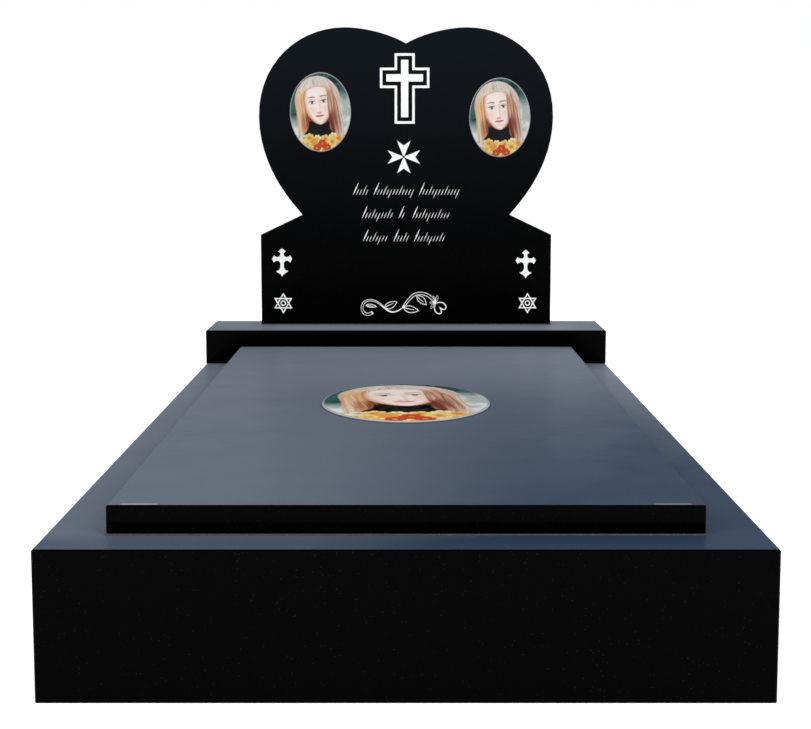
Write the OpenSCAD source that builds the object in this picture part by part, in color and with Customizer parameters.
// Heart-shaped granite grave monument: kerb base, ledger slab, plinth, headstone and three
// porcelain portrait medallions. Millimetres, +Z up. The origin is the middle of the kerb's
// underside, the foot of the grave faces -Y, and each piece rests on the one below it.

/* [Kerb base] */
// Width of the kerb base, side to side
kerb_w = 900; // [760:1:1200]
// Length of the kerb base, foot to head
kerb_l = 2000; // [1600:1:2500]
// Height of the kerb base
kerb_h = 190; // [120:1:300]
// Thickness of the kerb's foot and side walls
kerb_wall = 150; // [115:1:200]
// Chamfer on the exposed edges of every slab
arris = 2; // [1:0.5:5]

/* [Ledger slab] */
// Kerb top left showing beside and in front of the ledger
ledger_margin = 77; // [40:1:100]
// Thickness of the ledger slab
ledger_t = 38; // [25:1:60]
// Length of the ledger's head end that rests on the kerb
ledger_bearing = 60; // [30:1:120]

/* [Plinth] */
// Depth of the plinth, front to back
plinth_d = 215; // [170:1:300]
// Height of the plinth
plinth_h = 75; // [40:1:150]

/* [Headstone] */
// Width of the headstone's rectangular foot
stone_w = 670; // [540:1:750]
// Thickness of the headstone
stone_t = 75; // [50:1:100]
// Plinth left showing behind the headstone
stone_back_gap = 12; // [5:1:40]
// Height of the outer corner of the sloped shoulder
shoulder_z = 208; // [170:1:235]
// Height where the shoulder meets the heart
waist_z = 254; // [240:1:300]
// Width of the headstone where the shoulder meets the heart
waist_w = 477; // [380:1:530]
// Widest measure across the heart
heart_w = 673; // [555:1:810]
// Height of the heart's widest place
heart_mid_z = 478; // [400:1:540]
// Height of the top of the heart's lobes
lobe_z = 679; // [600:1:820]
// Distance between the tops of the two lobes
lobe_gap = 280; // [220:1:340]
// Depth of the notch below the lobe tops
notch_depth = 36; // [15:1:80]

/* [Engraving] */
// Depth of every engraved figure and stroke
engrave_depth = 1.5; // [0.5:0.1:3]
// Height of the outlined cross
cross_h = 159; // [120:1:190]
// Width of the outlined cross
cross_w = 113; // [90:1:140]
// Width of the outlined cross's bars
cross_bar = 46; // [42:1:60]
// Distance from the notch down to the outlined cross
cross_drop = 22; // [10:1:60]
// Distance from the outlined cross down to the four-armed cross
maltese_drop = 38; // [15:1:60]
// Span of the four-armed cross
maltese_span = 75; // [50:1:100]
// Distance from the four-armed cross down to the first row's tall strokes
row_drop = 21; // [10:1:40]
// Distance from one row's baseline to the next
row_pitch = 53.5; // [40:0.5:70]
// Height of the low strokes in a row
stroke_h = 13; // [8:0.5:18]
// Height of the tall strokes in a row
tall_stroke_h = 28; // [20:0.5:36]
// Distance from the foot's side to the middle of a corner figure
corner_inset = 51; // [35:1:80]
// Height of the middle of the corner crosses' arms
corner_cross_z = 152; // [130:1:165]
// Height of the middle of the corner stars
corner_star_z = 49.5; // [35:0.5:65]
// Height from centre to tip of a corner star
star_r = 24.5; // [15:0.5:30]
// Height of the middle of the vine
vine_z = 49; // [40:1:60]

/* [Medallions] */
// Width of a headstone medallion
portrait_w = 140; // [110:1:170]
// Height of a headstone medallion
portrait_h = 180; // [140:1:220]
// Thickness of a headstone medallion at its rim
portrait_edge = 3.5; // [2:0.5:6]
// Rise of a headstone medallion's dome above its rim
portrait_crown = 3.5; // [1:0.5:8]
// Distance from the heart's widest edge to the left medallion
portrait_inset_left = 71; // [30:1:90]
// Distance from the heart's widest edge to the right medallion
portrait_inset_right = 52; // [30:1:90]
// Height of the left medallion's middle above the heart's widest place
portrait_rise_left = 10; // [-20:1:40]
// Height of the right medallion's middle above the heart's widest place
portrait_rise_right = -2; // [-20:1:40]
// Width of the ledger medallion
tablet_w = 292; // [220:1:360]
// Length of the ledger medallion
tablet_l = 441; // [350:1:560]
// Thickness of the ledger medallion at its rim
tablet_edge = 3.5; // [2:0.5:6]
// Rise of the ledger medallion's dome above its rim
tablet_crown = 2.5; // [1:0.5:8]
// Distance from the ledger's head end to the ledger medallion
tablet_setback = 636; // [300:1:700]

/* [Hidden] */

// Stacking: each piece's level and its place along the grave
foot_y = -kerb_l / 2;
head_y = kerb_l / 2;
plinth_y = head_y - plinth_d;
ledger_top_z = kerb_h + ledger_t;
stone_foot_z = kerb_h + plinth_h;
stone_y = head_y - stone_back_gap - stone_t;
ledger_w = kerb_w - 2 * ledger_margin;
ledger_y = foot_y + ledger_margin;
ledger_l = plinth_y - ledger_y;
hollow_w = kerb_w - 2 * kerb_wall;
hollow_y = foot_y + kerb_wall;
hollow_l = plinth_y - ledger_bearing - hollow_y;

// Heart outline: notch, lobe, side and waist, with how full each curve is
notch_z = lobe_z - notch_depth;
notch_angle = 30;
notch_fullness = 0.315;
crown_fullness = 0.32;
lobe_fullness = 0.52;
flank_fullness = 0.62;
hip_fullness = 0.575;
waist_angle = 64;
waist_fullness = 0.045;
curve_steps = 14;

// Centre line of the engraved column, measured downwards from the notch
column_x = -3;
cross_top_z = notch_z - cross_drop;
cross_arm_drop = 55.4;
cross_line = 5.8;
cross_gap = 8.8;
maltese_x = -5;
maltese_z = cross_top_z - cross_h - maltese_drop - maltese_span / 2;
maltese_tip = 15.8;
maltese_fork = 11.3;
maltese_neck = 1.6;
maltese_gap = 2.4;

// Rows of strokes: the word lengths of each row, with the row's middle
row_words = [[37, 94, 95], [74, 21, 90], [60, 37, 74]];
row_middles = [2, 2, -3];
row_base_z = maltese_z - maltese_span / 2 - row_drop - tall_stroke_h;
word_gap = 10.5;
stroke_pitch = 7.2;
stroke_w = 1.8;
stroke_tip = 0.9;
stroke_slant = 24;

// How far the left and right corner figures stand from mirrored places
cross_shifts = [[-2.5, 0.8], [-7.2, -2.8]];
star_shifts = [[-0.5, 0.5], [-2.3, 0.8]];
star_band = 2.9;
star_hub_r = 6.4;
star_hole_r = 3.7;
vine_x = -4;
vine_line = 1.7;
sepal_line = 1.1;
bloom_line = 2.4;
line_merge = 0.01;
medallion_sides = 72;
dome_rings = 6;

// Small helpers ------------------------------------------------------------------------

// Points of a cubic curve from p[0] to p[3], steered by p[1] and p[2]
function curve(p, steps) = [
    for (i = [0 : steps])
        let (t = i / steps, u = 1 - t)
            p[0] * u * u * u + 3 * p[1] * u * u * t + 3 * p[2] * u * t * t + p[3] * t * t * t
];

// The same points without the first, for joining to the curve before
function rest_of(points) = [for (i = [1 : len(points) - 1]) points[i]];

function unit(v) = v / norm(v);
function left_normal(v) = [-v[1], v[0]];
function turned(length, angle) = length * [cos(angle), sin(angle)];

// Direction of an open path at point i
function heading(path, i) =
    unit(path[min(i + 1, len(path) - 1)] - path[max(i - 1, 0)]);

// A closed outline moved inwards by c, corner by corner (points run anticlockwise)
function inset(points, c) = [
    for (i = [0 : len(points) - 1])
        let (
            n = len(points),
            before = left_normal(unit(points[i] - points[(i + n - 1) % n])),
            after = left_normal(unit(points[(i + 1) % n] - points[i]))
        )
            points[i] + c * (before + after) / (1 + before * after)
];

// A line of changing width along a path
module ribbon(path, w_start, w_end) {
    last = len(path) - 1;
    widths = [for (i = [0 : last]) w_start + (w_end - w_start) * i / last];
    sides = [for (i = [0 : last]) left_normal(heading(path, i)) * widths[i] / 2];
    polygon(concat(
        [for (i = [0 : last]) path[i] + sides[i]],
        [for (i = [last : -1 : 0]) path[i] - sides[i]]
    ));
}

// Two thin lines that follow the edges of a ribbon and close at its ends
module double_line(path, w_start, w_end, line) {
    between = [for (i = [1 : len(path) - 2]) path[i]];
    difference() {
        ribbon(path, w_start, w_end);
        ribbon(between, w_start - 2 * line, w_end - 2 * line);
    }
}

// Section of a slab whose top corners are chamfered and whose foot is square
module slab_section(w, h) {
    polygon([
        [-w / 2, 0], [w / 2, 0],
        [w / 2, h - arris], [w / 2 - arris, h],
        [arris - w / 2, h], [-w / 2, h - arris]
    ]);
}

// Slab with chamfered upright and top edges, standing on its underside
module slab(w, l, h) {
    intersection() {
        linear_extrude(h)
            polygon(inset_corners(w, l));
        rotate([90, 0, 0])
            translate([0, 0, -l / 2])
                linear_extrude(l)
                    slab_section(w, h);
        rotate([90, 0, 90])
            translate([0, 0, -w / 2])
                linear_extrude(w)
                    slab_section(l, h);
    }
}

// Rectangle with its four corners cut off by the arris
function inset_corners(w, l) = [
    [arris - w / 2, -l / 2], [w / 2 - arris, -l / 2],
    [w / 2, arris - l / 2], [w / 2, l / 2 - arris],
    [w / 2 - arris, l / 2], [arris - w / 2, l / 2],
    [-w / 2, l / 2 - arris], [-w / 2, arris - l / 2]
];

// Headstone ----------------------------------------------------------------------------

// Right half of the outline, from the foot's corner up to the notch
function stone_half() =
    let (
        waist = [waist_w / 2, waist_z],
        side = [heart_w / 2, heart_mid_z],
        lobe = [lobe_gap / 2, lobe_z],
        notch = [0, notch_z],
        hip = side[1] - waist[1],
        flank = lobe[1] - side[1],
        shelf = side[0] - lobe[0]
    )
        concat(
            [[stone_w / 2, 0], [stone_w / 2, shoulder_z]],
            curve([
                waist,
                waist + turned(waist_fullness * hip, waist_angle),
                side - [0, hip_fullness * hip],
                side
            ], curve_steps),
            rest_of(curve([
                side,
                side + [0, flank_fullness * flank],
                lobe + [lobe_fullness * shelf, 0],
                lobe
            ], curve_steps)),
            rest_of(curve([
                lobe,
                lobe - [crown_fullness * lobe[0], 0],
                notch + turned(notch_fullness * lobe[0], notch_angle),
                notch
            ], curve_steps))
        );

// Whole outline, anticlockwise: the left half is the right half mirrored
function stone_outline() =
    let (half = stone_half(), last = len(half) - 1)
        concat(half, [for (i = [last - 1 : -1 : 0]) [-half[i][0], half[i][1]]]);

// Upright plate with chamfered edges all round, its front face at y = 0
module upright_plate(outline, t) {
    n = len(outline);
    small = inset(outline, arris);
    hub = [0, waist_z];
    rings = [[small, 0], [outline, arris], [outline, t - arris], [small, t]];
    points = concat(
        [for (ring = rings) for (p = ring[0]) [p[0], ring[1], p[1]]],
        [[hub[0], 0, hub[1]], [hub[0], t, hub[1]]]
    );
    front = [for (i = [0 : n - 1]) [4 * n, (i + 1) % n, i]];
    back = [for (i = [0 : n - 1]) [4 * n + 1, 3 * n + i, 3 * n + (i + 1) % n]];
    bands = [
        for (b = [0 : 2]) for (i = [0 : n - 1])
            let (j = (i + 1) % n)
                [b * n + i, b * n + j, (b + 1) * n + j, (b + 1) * n + i]
    ];
    polyhedron(points, concat(front, back, bands));
}

// Engraved figures, drawn flat with x to the right and y up -----------------------------

// Latin cross whose outline lies `shrink` inside the full size, top middle at the origin
module latin_cross(shrink) {
    arm = cross_w / 2 - shrink;
    bar = cross_bar / 2 - shrink;
    polygon([
        [-bar, -shrink], [-bar, bar - cross_arm_drop], [-arm, bar - cross_arm_drop],
        [-arm, -bar - cross_arm_drop], [-bar, -bar - cross_arm_drop],
        [-bar, shrink - cross_h], [bar, shrink - cross_h],
        [bar, -bar - cross_arm_drop], [arm, -bar - cross_arm_drop],
        [arm, bar - cross_arm_drop], [bar, bar - cross_arm_drop], [bar, -shrink]
    ]);
}

// Solid cross inside an outlined one
module outlined_cross() {
    difference() {
        latin_cross(0);
        latin_cross(cross_line);
    }
    latin_cross(cross_line + cross_gap);
}

// Cross of four arms that widen from a narrow gap at the centre to forked ends
module maltese_cross() {
    reach = maltese_span / 2;
    for (q = [0 : 3])
        rotate(90 * q)
            polygon([
                [-maltese_neck, maltese_gap], [maltese_neck, maltese_gap],
                [maltese_tip, reach], [0, reach - maltese_fork], [-maltese_tip, reach]
            ]);
}

// Right half of the budded corner cross, tip to tip, its arms level with the origin
function budded_half() =
    concat(
        [[0, 24.9], [9, 17]],
        curve([[9, 17], [4.6, 15.5], [3.7, 14], [3.7, 10]], 4),
        curve([[3.7, 10], [4.1, 4.2], [13, 1.6], [18.8, 8.2]], 6),
        [[23.4, 0]],
        curve([[18.8, -8.2], [13, -1.6], [4.1, -3.5], [4.1, -11]], 6),
        curve([[4.1, -18], [4.5, -24], [9, -28.5], [14.4, -28]], 5),
        curve([[14.4, -28], [10.5, -33.6], [4, -31], [0, -41.7]], 5)
    );

module budded_cross() {
    half = budded_half();
    polygon(concat(half, [for (i = [len(half) - 2 : -1 : 1]) [-half[i][0], half[i][1]]]));
}

module triangle(r) {
    polygon([for (i = [0 : 2]) turned(r, 90 + 120 * i)]);
}

// Six-pointed star of two banded triangles, with a ringed hub
module banded_star() {
    for (flip = [0, 180])
        rotate(flip)
            difference() {
                triangle(star_r);
                triangle(star_r - 2 * star_band);
            }
    difference() {
        circle(star_hub_r, $fn = 36);
        circle(star_hole_r, $fn = 36);
    }
}

// Leaf outline from the origin along +x, fuller by `above` and `below`
module leaf_shape(length, above, below) {
    polygon(concat(
        curve([[0, 0], [0.2 * length, 1.35 * above], [0.65 * length, 1.3 * above], [length, 0]], 8),
        rest_of(curve([[length, 0], [0.65 * length, -1.3 * below],
            [0.2 * length, -1.35 * below], [0, 0]], 8))
    ));
}

// Leaf outlined by a line of the given width, with a rib down its middle
module leaf(at, angle, length, above, below, line) {
    translate(at)
        rotate(angle) {
            difference() {
                leaf_shape(length, above, below);
                offset(delta = -line)
                    leaf_shape(length, above, below);
            }
            ribbon([[0.1 * length, 0], [0.7 * length, 0]], 1.3 * line, 0.6 * line);
        }
}

// Outlined heart-shaped bloom, its point at the origin and its lobes along +x
module bloom_shape() {
    upper = concat(
        curve([[0, 0], [5, 12], [13, 17], [21, 14.5]], 8),
        rest_of(curve([[21, 14.5], [31, 11], [29, 2], [20, 0]], 8))
    );
    polygon(concat(upper, [for (i = [len(upper) - 2 : -1 : 1]) [upper[i][0], -upper[i][1]]]));
}

// Vine with a curled root, three leaves, an arched stem and a bloom
module vine() {
    root = [-47, -9];
    fork = [-3, -9];
    calyx = [72, 2];
    curl = concat(
        curve([root, [-60, 4], [-70, 8.5], [-80, 8]], 8),
        rest_of(curve([[-80, 8], [-104, 7], [-103, -26], [-84, -25]], 10)),
        rest_of(curve([[-84, -25], [-79, -24.5], [-76, -22], [-73, -20]], 3))
    );
    stem = concat(
        curve([root, [-36, -18], [-30, -19.5], [-27, -19.5]], 6),
        rest_of(curve([[-27, -19.5], [-17, -19.5], [-10, -14], fork], 6))
    );
    arch = concat(
        curve([fork, [9, 7], [19, 24], [36, 24]], 10),
        rest_of(curve([[36, 24], [52, 24], [65, 14], calyx], 8))
    );
    double_line(curl, 3.6, 7.5, 1.5);
    ribbon(stem, 4.2, 2.3);
    double_line(arch, 6.4, 8, vine_line);
    leaf([-90, -4], -7, 27, 5, 4, vine_line);
    leaf(root, 24, 34, 7, 9.5, vine_line);
    leaf(fork, -12, 38, 8, 9, vine_line);
    leaf([28, 18], -42, 32, 9, 7, vine_line);
    for (sepal = [[106, 17], [72, 19], [178, 14], [231, 18]])
        leaf(calyx, sepal[0], sepal[1], 3.6, 3.6, sepal_line);
    translate(calyx)
        rotate(-47)
            difference() {
                bloom_shape();
                offset(delta = -bloom_line)
                    bloom_shape();
            }
}

// One slanted stroke of width w with fine ends, from height `low` to `high`
module stroke(low, high, w) {
    lean = tan(stroke_slant);
    swell = [0.5 * (low + high) * lean, 0.5 * (low + high)];
    ribbon([[low * lean, low], swell], stroke_tip, w);
    ribbon([swell, [high * lean, high]], w, stroke_tip);
}

// One word: a heavier tall stroke, then low strokes with a tall or a hanging one at set places
module word(length) {
    stroke(0, tall_stroke_h, 1.6 * stroke_w);
    for (i = [1 : floor(length / stroke_pitch) - 1])
        translate([i * stroke_pitch, 0])
            stroke(
                i % 7 == 5 ? -0.6 * stroke_h : 0,
                i % 5 == 3 ? 0.75 * tall_stroke_h : stroke_h,
                stroke_w
            );
}

function sum_before(list, k) = k == 0 ? 0 : list[k - 1] + sum_before(list, k - 1);

module stroke_row(words, middle) {
    n = len(words);
    total = sum_before(words, n) + (n - 1) * word_gap;
    for (k = [0 : n - 1])
        translate([middle - total / 2 + sum_before(words, k) + k * word_gap, 0])
            word(words[k]);
}

// Places its children at the two lower corners, at height z, each moved by its own shift
module in_corners(z, shifts) {
    x = stone_w / 2 - corner_inset;
    translate([-x, z] + shifts[0])
        children();
    translate([x, z] + shifts[1])
        children();
}

// Figures with solid arms: none of their outlines meet
module solid_figures() {
    translate([column_x, cross_top_z])
        outlined_cross();
    translate([maltese_x, maltese_z])
        maltese_cross();
    in_corners(corner_cross_z, cross_shifts)
        budded_cross();
}

// Figures drawn in lines that cross, merged into closed outlines
module line_figures() {
    offset(delta = line_merge) {
        for (r = [0 : len(row_words) - 1])
            translate([0, row_base_z - r * row_pitch])
                stroke_row(row_words[r], row_middles[r]);
        in_corners(corner_star_z, star_shifts)
            banded_star();
        translate([vine_x, vine_z])
            vine();
    }
}

// Turns a flat drawing into a cutter that reaches engrave_depth into the headstone's face
module engraver() {
    translate([0, engrave_depth, 0])
        rotate([90, 0, 0])
            linear_extrude(engrave_depth + 1)
                children();
}

// Medallions ---------------------------------------------------------------------------

// Oval plaque lying on z = 0: a straight rim of height `edge` under a dome of height `crown`
module domed_oval(w, l, edge, crown) {
    n = medallion_sides;
    levels = concat(
        [[1, 0], [1, edge]],
        [for (k = [1 : dome_rings - 1])
            let (a = 90 * k / dome_rings)
                [cos(a), edge + crown * (1 - cos(a) * cos(a))]]
    );
    points = concat(
        [for (v = levels) for (i = [0 : n - 1])
            [w / 2 * v[0] * cos(360 * i / n), l / 2 * v[0] * sin(360 * i / n), v[1]]],
        [[0, 0, 0], [0, 0, edge + crown]]
    );
    under = len(levels) * n;
    top = (len(levels) - 1) * n;
    polyhedron(points, concat(
        [for (i = [0 : n - 1]) [under, i, (i + 1) % n]],
        [for (b = [0 : len(levels) - 2]) for (i = [0 : n - 1])
            let (j = (i + 1) % n)
                [b * n + j, b * n + i, (b + 1) * n + i, (b + 1) * n + j]],
        [for (i = [0 : n - 1]) [under + 1, top + (i + 1) % n, top + i]]
    ));
}

// Headstone medallion with its middle at [x, z] on the headstone's face
module portrait(x, z) {
    translate([x, stone_y, stone_foot_z + z])
        rotate([90, 0, 0])
            domed_oval(portrait_w, portrait_h, portrait_edge, portrait_crown);
}

// Pieces -------------------------------------------------------------------------------

// Open kerb that the ledger covers: ground shows inside it, and nothing fills it
module kerb_base() {
    color([0.13, 0.15, 0.18])
        difference() {
            slab(kerb_w, kerb_l, kerb_h);
            translate([-hollow_w / 2, hollow_y, -1])
                cube([hollow_w, hollow_l, kerb_h + 2]);
        }
}

module ledger_slab() {
    color([0.3, 0.33, 0.38])
        translate([0, ledger_y + ledger_l / 2, kerb_h])
            slab(ledger_w, ledger_l, ledger_t);
}

module headstone_plinth() {
    color([0.22, 0.25, 0.29])
        translate([0, plinth_y + plinth_d / 2, kerb_h])
            slab(kerb_w, plinth_d, plinth_h);
}

module headstone() {
    color([0.09, 0.1, 0.12])
        translate([0, stone_y, stone_foot_z])
            difference() {
                upright_plate(stone_outline(), stone_t);
                engraver()
                    solid_figures();
                engraver()
                    line_figures();
            }
}

module medallion_left() {
    color([0.86, 0.74, 0.62])
        portrait(
            portrait_inset_left + portrait_w / 2 - heart_w / 2,
            heart_mid_z + portrait_rise_left
        );
}

module medallion_right() {
    color([0.86, 0.74, 0.62])
        portrait(
            heart_w / 2 - portrait_inset_right - portrait_w / 2,
            heart_mid_z + portrait_rise_right
        );
}

module medallion_ledger() {
    color([0.86, 0.74, 0.62])
        translate([0, plinth_y - tablet_setback - tablet_l / 2, ledger_top_z])
            domed_oval(tablet_w, tablet_l, tablet_edge, tablet_crown);
}

kerb_base();
ledger_slab();
headstone_plinth();
headstone();
medallion_left();
medallion_right();
medallion_ledger();
